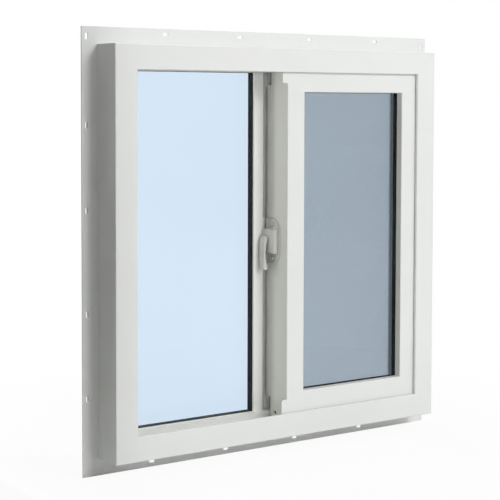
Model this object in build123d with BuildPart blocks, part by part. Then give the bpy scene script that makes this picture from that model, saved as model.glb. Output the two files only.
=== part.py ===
"""Sliding basement window: a white vinyl frame with a nailing fin, a fixed double-glazed
light on one side, and on the other a latched sliding sash with an insect screen behind it.

Millimetres. X runs to the right as seen from indoors, +Y runs outdoors and +Z is up.
The origin lies on the indoor side of the bottom nailing fin, half way along the window and
half way up that fin. That face bears on the wall.
"""

import os
from dataclasses import dataclass

from build123d import *

# Frame
frame_width = 597.0
frame_height = 597.0
face_width = 36.5
front_rounding = 1.5
lip_thickness = 4.5
channel_reach = 20.5
flange_thickness = 12.0
sill_flange_drop = 4.3

# Nailing fin
fin_setback = 52.5
fin_reach = 25.0
fin_thickness = 2.0
slot_length = 10.0
slot_width = 5.0
slot_edge = 8.0
top_slot_pitch = 132.8
top_slot_shift = 14.6
bottom_slot_pitch = 131.5
bottom_slot_shift = -10.9
side_slot_pitch = 122.5
side_pair_spacing = 271.1
side_slot_shift = -13.4
corner_slot_drop = 14.0

# Fixed light
pane_thickness = 3.0
fixed_air_gap = 11.0
fixed_bead_thickness = 6.0
bead_set_back = 2.5
bead_slope = 0.75
glass_bite = 12.0
edge_clearance = 2.5
spacer_show = 0.5

# Fixed meeting mullion
mullion_left = -20.0
mullion_face = 16.9
mullion_lip = 3.5
mullion_step_back = 10.0
mullion_right = 14.0
hook_offset = 4.0
hook_thickness = 2.0
hook_setback = 2.0

# Sliding sash
sash_left = 4.6
sash_depth = 43.5
sash_front_gap = 1.5
sash_back_gap = 2.0
jamb_pocket = 12.5
sill_pocket = 12.0
head_pocket = 7.5
lock_stile_width = 32.6
right_stile_sight = 28.4
top_rail_sight = 30.3
bottom_rail_sight = 31.4
sash_glass_recess = 12.0
sash_air_gap = 7.0
sash_bead_depth = 9.5
sash_back_bevel = 5.5
leg_thickness = 2.0
leg_running_gap = 1.0
leg_foot = 2.5
leg_end_gap = 18.8
tab_reach = 9.5
tab_thickness = 2.0
top_tab_sight = 16.5
bottom_tab_sight = 20.6
tab_rounding = 4.0
adjuster_diameter = 5.0
adjuster_depth = 6.0
adjuster_setback = 36.0
adjuster_rise = 7.5

# Sash track, rollers and seals
track_width = 3.0
track_gap = 1.0
roller_radius = 6.5
roller_width = 5.0
roller_running_gap = 0.3
roller_inset = 55.0
axle_radius = 1.5
axle_gap = 0.2
pocket_width = 13.0
housing_length = 34.0
housing_wall = 2.0
seal_gap = 0.2
seal_width = 6.0
seal_inset = 1.0
meeting_seal_width = 4.4
bumper_height = 40.0
bumper_width = 16.0
bumper_inset = 90.0

# Latch on the sash
latch_middle = 300.0
latch_running_gap = 0.5
plate_height = 72.0
plate_width = 35.5
plate_thickness = 3.0
plate_rounding = 20.0
body_proud = 9.5
body_width = 32.0
body_height = 38.0
body_bevel = 5.0
lever_width = 14.5
lever_setback = 1.5
lever_thickness = 3.4
lever_root_rise = 3.0
lever_root_inset = 1.0
lever_stand_off = 6.4
lever_knee_drop = 3.0
lever_belly_drop = 27.0
lever_tip_drop = 49.0
lever_tip_stand_off = 0.6
lever_bend = 4.5
lever_tip_radius = 2.8
keeper_margin = 0.4
tongue_height = 28.0
tongue_thickness = 2.0
tongue_reach = 7.0
screw_head_radius = 3.2
screw_head_height = 1.4
screw_inset = 9.5

# Insect screen
screen_clearance = 0.3
screen_setback = 1.0
screen_thickness = 6.0
screen_bar = 11.0
spline_width = 3.0
spline_inset = 2.0
mesh_thickness = 0.5

# Weep slots in the outdoor face of the sill
weep_length = 25.0
weep_height = 5.0
weep_depth = 6.0
weep_spacing = 300.0
weep_rise = 10.0

os.makedirs("parts", exist_ok=True)

# Heights and widths that the sizes above give
frame_left = -frame_width / 2
frame_right = frame_width / 2
frame_bottom = fin_reach / 2
frame_top = frame_bottom + frame_height
long_run = frame_width + frame_height
channel_floor = face_width - channel_reach
rebate_floor = face_width - glass_bite
track_top = face_width - sill_pocket - track_gap
mullion_step = mullion_left + mullion_face
spacer_width = glass_bite - edge_clearance + spacer_show

# Depths behind the indoor face of the frame, from the sash channel to the outdoor face
sash_front = lip_thickness + sash_front_gap
sash_back = sash_front + sash_depth
flange_front = sash_back + sash_back_gap
glass_depth = flange_front + flange_thickness
fixed_unit_back = glass_depth + 2 * pane_thickness + fixed_air_gap
frame_depth = fixed_unit_back + fixed_bead_thickness
mullion_face_depth = glass_depth - mullion_lip
mullion_step_depth = mullion_face_depth + mullion_step_back
screen_front = glass_depth + screen_setback


def y_at(depth):
    """Y of a plane that lies this far behind the indoor face of the frame."""
    return depth - fin_setback


@dataclass
class Ring:
    """A mitred rectangle of four bars, seen from indoors, with the width of each bar."""

    left: float
    right: float
    bottom: float
    top: float
    left_bar: float
    right_bar: float
    bottom_bar: float
    top_bar: float

    def width(self, side):
        """Width of the bar on this side."""
        return getattr(self, side + "_bar")

    def plane(self, side):
        """Section plane: local X points inwards from the outer edge, local Y outdoors."""
        if side == "left":
            return Plane(origin=(self.left, 0, 0), x_dir=(1, 0, 0), z_dir=(0, 0, 1))
        if side == "right":
            return Plane(origin=(self.right, 0, 0), x_dir=(-1, 0, 0), z_dir=(0, 0, -1))
        if side == "bottom":
            return Plane(origin=(0, 0, self.bottom), x_dir=(0, 0, 1), z_dir=(-1, 0, 0))
        return Plane(origin=(0, 0, self.top), x_dir=(0, 0, -1), z_dir=(1, 0, 0))

    def outline(self, side):
        """Front outline of the bar on this side, from mitre to mitre, in X and Z."""
        outer = {
            "lower_left": (self.left, self.bottom),
            "lower_right": (self.right, self.bottom),
            "upper_right": (self.right, self.top),
            "upper_left": (self.left, self.top),
        }
        inner_left = self.left + self.left_bar
        inner_right = self.right - self.right_bar
        inner_bottom = self.bottom + self.bottom_bar
        inner_top = self.top - self.top_bar
        inner = {
            "lower_left": (inner_left, inner_bottom),
            "lower_right": (inner_right, inner_bottom),
            "upper_right": (inner_right, inner_top),
            "upper_left": (inner_left, inner_top),
        }
        first, second = {
            "bottom": ("lower_left", "lower_right"),
            "right": ("lower_right", "upper_right"),
            "top": ("upper_right", "upper_left"),
            "left": ("upper_left", "lower_left"),
        }[side]
        return [outer[first], outer[second], inner[second], inner[first]]


def even_ring(left, right, bottom, top, bar):
    """A ring whose four bars have the same width."""
    return Ring(left, right, bottom, top, bar, bar, bar, bar)


def ring_bar(ring, side, section, rounding=0.0):
    """One bar of a ring: the section run along its side and cut to the two mitres."""
    with BuildPart() as bar:
        with BuildSketch(ring.plane(side)) as profile:
            with BuildLine():
                Polyline(*section, close=True)
            make_face()
            if rounding:
                fillet(profile.vertices().group_by(Axis.Y)[0], radius=rounding)
        extrude(amount=long_run, both=True)
        with BuildSketch(Plane.XZ):
            with BuildLine():
                Polyline(*ring.outline(side), close=True)
            make_face()
        extrude(amount=long_run, both=True, mode=Mode.INTERSECT)
    return bar


def bead_section(front, back):
    """Section of a glazing bead, whose inner side leans away from the glass's middle."""
    foot = glass_bite - bead_set_back
    tip = foot - bead_slope * (back - front)
    return [(0, y_at(front)), (foot, y_at(front)), (tip, y_at(back)), (0, y_at(back))]


def flat_section(width, front, back):
    """Rectangular section of a bar, from one depth behind the indoor face to another."""
    return [(0, y_at(front)), (width, y_at(front)), (width, y_at(back)), (0, y_at(back))]


def block(x_range, depth_range, z_range, mode=Mode.ADD):
    """A box between two X, two depths behind the indoor face and two Z."""
    centre = (sum(x_range) / 2, y_at(sum(depth_range) / 2), sum(z_range) / 2)
    with Locations(centre):
        Box(
            x_range[1] - x_range[0],
            depth_range[1] - depth_range[0],
            z_range[1] - z_range[0],
            mode=mode,
        )


def finish(piece, node):
    """Label one piece with its node name and write it."""
    piece.part.label = node
    export_step(piece.part, f"parts/{node}.step")


# Frame: four welded lengths of one profile, with a lip in front of the sash channel, a flange
# that the glass bears on and a rebate for the glass and the screen
frame_ring = even_ring(frame_left, frame_right, frame_bottom, frame_top, face_width)


def frame_section(flange_drop):
    """Section of a frame side whose flange and rebate stand this much lower than its lip."""
    flange_edge = face_width - flange_drop
    floor = rebate_floor - flange_drop
    return [
        (0, y_at(0)),
        (face_width, y_at(0)),
        (face_width, y_at(lip_thickness)),
        (channel_floor, y_at(lip_thickness)),
        (channel_floor, y_at(flange_front)),
        (flange_edge, y_at(flange_front)),
        (flange_edge, y_at(glass_depth)),
        (floor, y_at(glass_depth)),
        (floor, y_at(frame_depth)),
        (0, y_at(frame_depth)),
    ]


for side, node in [("top", "frame_head"), ("left", "frame_left_jamb"), ("right", "frame_right_jamb")]:
    finish(ring_bar(frame_ring, side, frame_section(0), front_rounding), node)

with BuildPart() as frame_sill:
    add(ring_bar(frame_ring, "bottom", frame_section(sill_flange_drop), front_rounding).part)
    with BuildSketch(Plane.XZ.offset(-y_at(frame_depth))):
        with Locations((0, frame_bottom + weep_rise)):
            with GridLocations(weep_spacing, 1, 2, 1):
                SlotOverall(weep_length, weep_height)
    extrude(amount=weep_depth, mode=Mode.SUBTRACT)
finish(frame_sill, "frame_sill")

# Nailing fin: one strip a side, mitred at the corners, with a row of nail slots
fin_ring = even_ring(
    frame_left - fin_reach,
    frame_right + fin_reach,
    frame_bottom - fin_reach,
    frame_top + fin_reach,
    fin_reach,
)
fin_section = flat_section(fin_reach, fin_setback, fin_setback + fin_thickness)
frame_middle = (frame_bottom + frame_top) / 2
side_pairs = [side_slot_shift - side_pair_spacing / 2, side_slot_shift + side_pair_spacing / 2]
side_slots = [middle + sign * side_slot_pitch / 2 for middle in side_pairs for sign in (-1, 1)]
side_heights = [frame_middle + height for height in side_slots]
side_heights.append(fin_ring.top - corner_slot_drop)
row_steps = (-1.5, -0.5, 0.5, 1.5)
fin_slots = {
    "top": [(top_slot_shift + step * top_slot_pitch, fin_ring.top - slot_edge) for step in row_steps],
    "bottom": [
        (bottom_slot_shift + step * bottom_slot_pitch, fin_ring.bottom + slot_edge) for step in row_steps
    ],
    "left": [(fin_ring.left + slot_edge, height) for height in side_heights],
    "right": [(fin_ring.right - slot_edge, height) for height in side_heights],
}
for side, slots in fin_slots.items():
    with BuildPart() as nail_fin:
        add(ring_bar(fin_ring, side, fin_section).part)
        with BuildSketch(Plane.XZ):
            with Locations(*slots):
                SlotOverall(slot_length, slot_width, rotation=90 if side in ("left", "right") else 0)
        extrude(amount=-fin_thickness, mode=Mode.SUBTRACT)
    finish(nail_fin, f"nail_fin_{side}")

# Fixed light: two panes on a spacer, held against the flange by outdoor beads
light_left = frame_left + rebate_floor
light_right = mullion_left + glass_bite
light_bottom = frame_bottom + rebate_floor - sill_flange_drop
light_top = frame_top - rebate_floor


def glass_unit(prefix, left, right, bottom, top, front, air_gap):
    """Two panes with a spacer ring between their edges."""
    back_pane = front + pane_thickness + air_gap
    for node, pane_front in [("inner", front), ("outer", back_pane)]:
        with BuildPart() as pane:
            block((left, right), (pane_front, pane_front + pane_thickness), (bottom, top))
        finish(pane, f"{prefix}_glass_{node}")
    spacer_front = front + pane_thickness
    with BuildPart() as spacer:
        block((left, right), (spacer_front, back_pane), (bottom, top))
        block(
            (left + spacer_width, right - spacer_width),
            (spacer_front, back_pane),
            (bottom + spacer_width, top - spacer_width),
            mode=Mode.SUBTRACT,
        )
    finish(spacer, f"{prefix}_glass_spacer")


glass_unit(
    "fixed",
    light_left + edge_clearance,
    light_right - edge_clearance,
    light_bottom + edge_clearance,
    light_top - edge_clearance,
    glass_depth,
    fixed_air_gap,
)
fixed_bead_ring = even_ring(light_left, light_right, light_bottom, light_top, glass_bite)
fixed_bead = bead_section(fixed_unit_back, frame_depth)
for side in ("top", "bottom", "left", "right"):
    finish(ring_bar(fixed_bead_ring, side, fixed_bead), f"fixed_bead_{side}")

# Meeting mullion: its face covers the edge of the fixed glass, then it steps back behind the
# sash and carries the interlock hook
lip_bottom = frame_bottom + face_width
flange_bottom = lip_bottom - sill_flange_drop
flange_top = frame_top - face_width
hook_left = mullion_right - hook_offset
with BuildPart() as meeting_mullion:
    block((mullion_left, mullion_step), (mullion_face_depth, glass_depth), (flange_bottom, flange_top))
    with BuildSketch(Plane.XY.offset(light_bottom)):
        with BuildLine():
            Polyline(
                (light_right, y_at(glass_depth)),
                (mullion_step, y_at(glass_depth)),
                (mullion_step, y_at(mullion_step_depth)),
                (mullion_right, y_at(mullion_step_depth)),
                (mullion_right, y_at(frame_depth)),
                (light_right, y_at(frame_depth)),
                close=True,
            )
        make_face()
    extrude(amount=light_top - light_bottom)
    block(
        (hook_left, hook_left + hook_thickness),
        (mullion_face_depth + hook_setback, mullion_step_depth),
        (flange_bottom, flange_top),
    )
finish(meeting_mullion, "meeting_mullion")

# Track strip on the floor of the sill channel
track_depth = (sash_front + sash_back) / 2
track_half = frame_width / 2 - face_width
with BuildPart() as sill_track:
    block(
        (-track_half, track_half),
        (track_depth - track_width / 2, track_depth + track_width / 2),
        (frame_bottom + channel_floor, frame_bottom + track_top),
    )
finish(sill_track, "sill_track")

# Sliding sash, shown closed: its right stile, top rail and bottom rail stand in the channel
sash_ring = Ring(
    left=sash_left,
    right=frame_right - face_width + jamb_pocket,
    bottom=frame_bottom + face_width - sill_pocket,
    top=frame_top - face_width + head_pocket,
    left_bar=lock_stile_width,
    right_bar=right_stile_sight + jamb_pocket,
    bottom_bar=bottom_rail_sight + sill_pocket,
    top_bar=top_rail_sight + head_pocket,
)
sash_glass_front = sash_front + sash_glass_recess
sash_unit_back = sash_glass_front + 2 * pane_thickness + sash_air_gap


def sash_section(width):
    """Section of a sash bar: an indoor lip, the rebate for glass and bead, and a back bevel."""
    floor = width - glass_bite
    return [
        (0, y_at(sash_front)),
        (width, y_at(sash_front)),
        (width, y_at(sash_glass_front)),
        (floor, y_at(sash_glass_front)),
        (floor, y_at(sash_unit_back + sash_bead_depth)),
        (floor - sash_back_bevel, y_at(sash_back)),
        (0, y_at(sash_back)),
    ]


def sash_bar(side):
    """One mitred bar of the sash."""
    return ring_bar(sash_ring, side, sash_section(sash_ring.width(side)), front_rounding)


finish(sash_bar("top"), "sash_top_rail")
finish(sash_bar("right"), "sash_right_stile")

roller_places = [
    sash_ring.left + roller_inset,
    sash_ring.right - roller_inset,
]
roller_axis = frame_bottom + track_top + roller_running_gap + roller_radius
pocket_top = roller_axis + roller_radius + housing_wall + roller_running_gap
with BuildPart() as sash_bottom_rail:
    add(sash_bar("bottom").part)
    for middle in roller_places:
        block(
            (middle - housing_length / 2, middle + housing_length / 2),
            (track_depth - pocket_width / 2, track_depth + pocket_width / 2),
            (sash_ring.bottom, pocket_top),
            mode=Mode.SUBTRACT,
        )
finish(sash_bottom_rail, "sash_bottom_rail")

# Lock stile: the plain bar, an interlock leg cut short at both ends, and the two ends of its
# cover leg, which is cut away between them to clear the latch
top_tab_bottom = flange_top - top_tab_sight
bottom_tab_top = lip_bottom + bottom_tab_sight
leg_back = mullion_face_depth - leg_running_gap
fill_margin = 2 * front_rounding
with BuildPart() as sash_lock_stile:
    add(sash_bar("left").part)
    block(
        (sash_left, sash_left + leg_thickness),
        (sash_back, leg_back),
        (lip_bottom + leg_end_gap, flange_top - leg_end_gap),
    )
    block(
        (sash_left + leg_thickness, sash_left + leg_thickness + leg_foot),
        (leg_back - leg_thickness, leg_back),
        (lip_bottom + leg_end_gap, flange_top - leg_end_gap),
    )
    for low, high, inner_end in [
        (sash_ring.bottom, bottom_tab_top, bottom_tab_top),
        (top_tab_bottom, sash_ring.top, top_tab_bottom),
    ]:
        with BuildSketch(Plane.XZ.offset(-y_at(sash_front))) as tab:
            with Locations((sash_left - tab_reach / 2, (low + high) / 2)):
                Rectangle(tab_reach, high - low)
            free_corners = tab.vertices().group_by(Axis.X)[0]
            fillet(free_corners.sort_by(lambda v: abs(v.Y - inner_end))[0], radius=tab_rounding)
        extrude(amount=-tab_thickness)
        block(
            (sash_left, sash_left + front_rounding),
            (sash_front, sash_front + tab_thickness),
            (max(low, sash_ring.bottom + fill_margin), min(high, sash_ring.top - fill_margin)),
        )
    with BuildSketch(Plane.YZ.offset(sash_left)):
        with Locations((y_at(adjuster_setback), sash_ring.bottom + adjuster_rise)):
            Circle(adjuster_diameter / 2)
    extrude(amount=adjuster_depth, mode=Mode.SUBTRACT)
finish(sash_lock_stile, "sash_lock_stile")

# Glass of the sash and the beads behind it
pane_left = sash_ring.left + sash_ring.left_bar - glass_bite
pane_right = sash_ring.right - sash_ring.right_bar + glass_bite
pane_bottom = sash_ring.bottom + sash_ring.bottom_bar - glass_bite
pane_top = sash_ring.top - sash_ring.top_bar + glass_bite
glass_unit(
    "sash",
    pane_left + edge_clearance,
    pane_right - edge_clearance,
    pane_bottom + edge_clearance,
    pane_top - edge_clearance,
    sash_glass_front,
    sash_air_gap,
)
sash_bead_ring = even_ring(pane_left, pane_right, pane_bottom, pane_top, glass_bite)
sash_bead = bead_section(sash_unit_back, sash_unit_back + sash_bead_depth)
for side in ("top", "bottom", "left", "right"):
    finish(ring_bar(sash_bead_ring, side, sash_bead), f"sash_bead_{side}")

# Rollers in the bottom rail, each wheel on the axle of its own housing
with BuildPart() as roller_wheels:
    with BuildSketch(Plane.XZ.offset(-y_at(track_depth - roller_width / 2))):
        for middle in roller_places:
            with Locations((middle, roller_axis)):
                Circle(roller_radius)
                Circle(axle_radius + axle_gap, mode=Mode.SUBTRACT)
    extrude(amount=-roller_width)
finish(roller_wheels, "roller_wheels")

wheel_side_gap = (pocket_width - 2 * housing_wall - roller_width) / 2
with BuildPart() as roller_housings:
    for middle in roller_places:
        ends = (middle - housing_length / 2, middle + housing_length / 2)
        pocket = (track_depth - pocket_width / 2, track_depth + pocket_width / 2)
        block(ends, pocket, (sash_ring.bottom, pocket_top))
        block(
            ends,
            (pocket[0] + housing_wall, pocket[1] - housing_wall),
            (sash_ring.bottom, pocket_top - housing_wall),
            mode=Mode.SUBTRACT,
        )
    with BuildSketch(Plane.XZ.offset(-y_at(track_depth - pocket_width / 2))):
        for middle in roller_places:
            with Locations((middle, roller_axis)):
                Circle(axle_radius)
    extrude(amount=-pocket_width)
finish(roller_housings, "roller_housings")

# Pile strips between the back of the sash and the flange, on three sides
pile_front = sash_back
pile_back = flange_front - seal_gap
seal_left = sash_ring.left + sash_ring.left_bar
seal_right = frame_right - face_width
head_seal = flange_top + seal_inset
sill_seal = flange_bottom - seal_inset
jamb_seal = seal_right + seal_inset
with BuildPart() as sash_seals:
    block((seal_left, seal_right), (pile_front, pile_back), (head_seal, head_seal + seal_width))
    block((seal_left, seal_right), (pile_front, pile_back), (sill_seal - seal_width, sill_seal))
    block(
        (jamb_seal, jamb_seal + seal_width),
        (pile_front, pile_back),
        (flange_bottom + seal_inset, flange_top - seal_inset),
    )
finish(sash_seals, "sash_seals")

# Pile strip in the step of the mullion, left out where the latch keeper sits
plate_bottom = frame_bottom + latch_middle - plate_height / 2
plate_top = plate_bottom + plate_height
meeting_seal_right = mullion_step + meeting_seal_width
with BuildPart() as meeting_seal:
    for low, high in [(flange_bottom, plate_bottom), (plate_top, flange_top)]:
        block(
            (mullion_step, meeting_seal_right),
            (mullion_face_depth + seal_gap, mullion_step_depth),
            (low, high),
        )
finish(meeting_seal, "meeting_seal")

# Rubber bumpers in the channel of the right jamb, which the closed sash stops against
with BuildPart() as jamb_bumpers:
    for middle in (lip_bottom + bumper_inset, flange_top - bumper_inset):
        block(
            (sash_ring.right + roller_running_gap, frame_right - channel_floor),
            (track_depth - bumper_width / 2, track_depth + bumper_width / 2),
            (middle - bumper_height / 2, middle + bumper_height / 2),
        )
finish(jamb_bumpers, "jamb_bumpers")

# Latch: a D-shaped plate on the edge of the lock stile, a raised body and a hanging lever
plate_outer = sash_left - plate_thickness
plate_back = mullion_face_depth - latch_running_gap
plate_front = plate_back - plate_width
body_outer = sash_left - body_proud
with BuildPart() as latch_base:
    with BuildSketch(Plane.YZ.offset(plate_outer)) as plate_shape:
        with Locations((y_at((plate_front + plate_back) / 2), (plate_bottom + plate_top) / 2)):
            Rectangle(plate_back - plate_front, plate_height)
        fillet(plate_shape.vertices().group_by(Axis.X)[0], radius=plate_rounding)
    extrude(amount=plate_thickness)
finish(latch_base, "latch_base")

body_middle = (plate_bottom + plate_top) / 2
with BuildPart() as latch_body:
    with BuildSketch(Plane.YZ.offset(body_outer)):
        with Locations((y_at(plate_back - body_width / 2), body_middle)):
            Rectangle(body_width, body_height)
    extrude(amount=plate_outer - body_outer)
    outer_edges = latch_body.faces().sort_by(Axis.X)[0].edges()
    chamfer(outer_edges.sort_by(Axis.Y)[0], length=body_bevel)
finish(latch_body, "latch_body")

lever_root = body_middle + lever_root_rise
lever_path = [
    (body_outer + lever_root_inset, lever_root),
    (body_outer - lever_stand_off, lever_root - lever_knee_drop),
    (body_outer - lever_stand_off, lever_root - lever_belly_drop),
    (body_outer - lever_tip_stand_off, lever_root - lever_tip_drop),
]
lever_back = plate_back - lever_setback
root_cut = lever_root_inset + lever_thickness
with BuildPart() as latch_lever:
    with BuildSketch(Plane.XZ.offset(-y_at(lever_back - lever_width))):
        with BuildLine():
            FilletPolyline(*lever_path, radius=lever_bend)
        trace(line_width=lever_thickness)
        with Locations(lever_path[-1]):
            Circle(lever_tip_radius)
        with Locations((body_outer + root_cut / 2, lever_root)):
            Rectangle(root_cut, 2 * root_cut, mode=Mode.SUBTRACT)
    extrude(amount=-lever_width)
finish(latch_lever, "latch_lever")

# Keeper in the step of the mullion and the tongue of the latch inside it
tongue_back = plate_back + tongue_reach
tongue_middle = (mullion_step + meeting_seal_right) / 2
tongue_range = (tongue_middle - tongue_thickness / 2, tongue_middle + tongue_thickness / 2)
tongue_low = (plate_bottom + plate_top - tongue_height) / 2
tongue_high = tongue_low + tongue_height
with BuildPart() as latch_keeper:
    block(
        (mullion_step, meeting_seal_right),
        (mullion_face_depth + keeper_margin, mullion_step_depth),
        (plate_bottom, plate_top),
    )
    block(
        (tongue_range[0] - keeper_margin, tongue_range[1] + keeper_margin),
        (mullion_face_depth, tongue_back + keeper_margin),
        (tongue_low - keeper_margin, tongue_high + keeper_margin),
        mode=Mode.SUBTRACT,
    )
finish(latch_keeper, "latch_keeper")

with BuildPart() as latch_tongue:
    block(tongue_range, (plate_back, tongue_back), (tongue_low, tongue_high))
finish(latch_tongue, "latch_tongue")

screw_depth = (plate_front + plate_back) / 2
with BuildPart() as latch_screws:
    with BuildSketch(Plane.YZ.offset(plate_outer)):
        for screw_rise in (plate_bottom + screw_inset, plate_top - screw_inset):
            with Locations((y_at(screw_depth), screw_rise)):
                Circle(screw_head_radius)
    extrude(amount=-screw_head_height)
finish(latch_screws, "latch_screws")

# Insect screen in the outdoor rebate behind the sash
screen_ring = even_ring(
    mullion_right + screen_clearance,
    frame_right - rebate_floor - screen_clearance,
    light_bottom + screen_clearance,
    light_top - screen_clearance,
    screen_bar,
)
screen_back = screen_front + screen_thickness
groove_low = screen_bar - spline_inset - spline_width
groove_high = screen_bar - spline_inset
screen_section = [
    (0, y_at(screen_front)),
    (screen_bar, y_at(screen_front)),
    (screen_bar, y_at(screen_back)),
    (groove_high, y_at(screen_back)),
    (groove_high, y_at(screen_back - spline_width)),
    (groove_low, y_at(screen_back - spline_width)),
    (groove_low, y_at(screen_back)),
    (0, y_at(screen_back)),
]
for side in ("top", "bottom", "left", "right"):
    finish(ring_bar(screen_ring, side, screen_section), f"screen_frame_{side}")

groove_left = screen_ring.left + groove_low
groove_right = screen_ring.right - groove_low
groove_bottom = screen_ring.bottom + groove_low
groove_top = screen_ring.top - groove_low
with BuildPart() as screen_spline:
    block((groove_left, groove_right), (screen_back - spline_width, screen_back), (groove_bottom, groove_top))
    block(
        (groove_left + spline_width, groove_right - spline_width),
        (screen_back - spline_width, screen_back),
        (groove_bottom + spline_width, groove_top - spline_width),
        mode=Mode.SUBTRACT,
    )
finish(screen_spline, "screen_spline")

mesh_front = screen_back - spline_width - mesh_thickness
with BuildPart() as screen_mesh:
    block(
        (screen_ring.left + screen_bar, screen_ring.right - screen_bar),
        (mesh_front, mesh_front + mesh_thickness),
        (screen_ring.bottom + screen_bar, screen_ring.top - screen_bar),
    )
finish(screen_mesh, "screen_mesh")
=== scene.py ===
"""Looks of a sliding basement window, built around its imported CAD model.

Blender units are metres, in the CAD's own frame: X runs to the right as seen from indoors,
+Y runs outdoors and +Z is up. Sizes of the pieces are written below in millimetres, and those of
the finishes and of the studio in metres.
"""

import logging
import math
from abc import ABC, abstractmethod
from dataclasses import dataclass, field
from enum import Enum
from functools import lru_cache
from typing import Any, Sequence

import bmesh
import bpy
import numpy as np
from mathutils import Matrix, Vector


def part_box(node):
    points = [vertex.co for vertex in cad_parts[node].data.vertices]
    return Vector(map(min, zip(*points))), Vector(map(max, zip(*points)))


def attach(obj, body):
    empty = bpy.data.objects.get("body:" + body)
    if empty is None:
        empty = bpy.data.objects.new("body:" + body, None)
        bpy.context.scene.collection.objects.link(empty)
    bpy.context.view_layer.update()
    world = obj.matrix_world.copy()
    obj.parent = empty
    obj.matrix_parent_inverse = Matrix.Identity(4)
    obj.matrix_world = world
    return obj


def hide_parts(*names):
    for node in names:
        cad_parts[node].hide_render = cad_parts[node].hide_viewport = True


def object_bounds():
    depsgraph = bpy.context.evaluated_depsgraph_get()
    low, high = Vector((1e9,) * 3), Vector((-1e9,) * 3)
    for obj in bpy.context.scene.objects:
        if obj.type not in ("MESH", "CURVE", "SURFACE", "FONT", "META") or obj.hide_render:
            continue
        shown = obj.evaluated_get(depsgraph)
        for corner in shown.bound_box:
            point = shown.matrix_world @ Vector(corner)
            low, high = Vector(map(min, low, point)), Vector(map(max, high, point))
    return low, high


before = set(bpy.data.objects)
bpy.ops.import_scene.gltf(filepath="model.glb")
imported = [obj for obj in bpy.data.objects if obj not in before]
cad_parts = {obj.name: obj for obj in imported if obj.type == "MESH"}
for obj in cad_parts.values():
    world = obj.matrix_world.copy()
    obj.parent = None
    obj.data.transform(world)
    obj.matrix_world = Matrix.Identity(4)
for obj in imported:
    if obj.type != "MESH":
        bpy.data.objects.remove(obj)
CAD_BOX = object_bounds()

LOG = logging.getLogger("basement_window")
MM = 0.001
Colour = tuple[float, float, float]
Point = tuple[float, float, float]
Profile = tuple[tuple[float, ...], ...]


class Run(Enum):
    """Direction in which a bar was extruded, and so of its fine lines."""

    ACROSS = (0.03, 1.0, 1.0)
    UP = (1.0, 1.0, 0.03)


# Shader expressions


class Number:
    """A number in a shader. Arithmetic on it adds the Math nodes that work it out."""

    def __init__(self, shader: "Shader", socket: bpy.types.NodeSocket) -> None:
        """Wrap a socket that gives a number."""
        self.shader = shader
        self.socket = socket

    def __add__(self, other: "Number | float") -> "Number":
        """Sum of two numbers."""
        return self.shader.math("ADD", self, other)

    def __mul__(self, other: "Number | float") -> "Number":
        """Product of two numbers."""
        return self.shader.math("MULTIPLY", self, other)

    def __sub__(self, other: "Number | float") -> "Number":
        """This number less another."""
        return self.shader.math("SUBTRACT", self, other)

    def __rsub__(self, other: float) -> "Number":
        """A plain number less this one."""
        return self.shader.math("SUBTRACT", other, self)

    def __abs__(self) -> "Number":
        """Size of the number without its sign."""
        return self.shader.math("ABSOLUTE", self)

    __radd__ = __add__

    def most(self, other: "Number | float") -> "Number":
        """The larger of two numbers."""
        return self.shader.math("MAXIMUM", self, other)

    def rise(self, low: float, high: float) -> "Number":
        """A smooth step from 0 at low to 1 at high.

        Args:
            low: the number at which the step starts.
            high: the number at which it ends.

        Returns:
            The height of the step.
        """
        node = self.shader.node(
            "ShaderNodeMapRange",
            {"interpolation_type": "SMOOTHSTEP"},
            {"Value": self, "From Min": low, "From Max": high},
        )
        return Number(self.shader, node.outputs[0])


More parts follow.
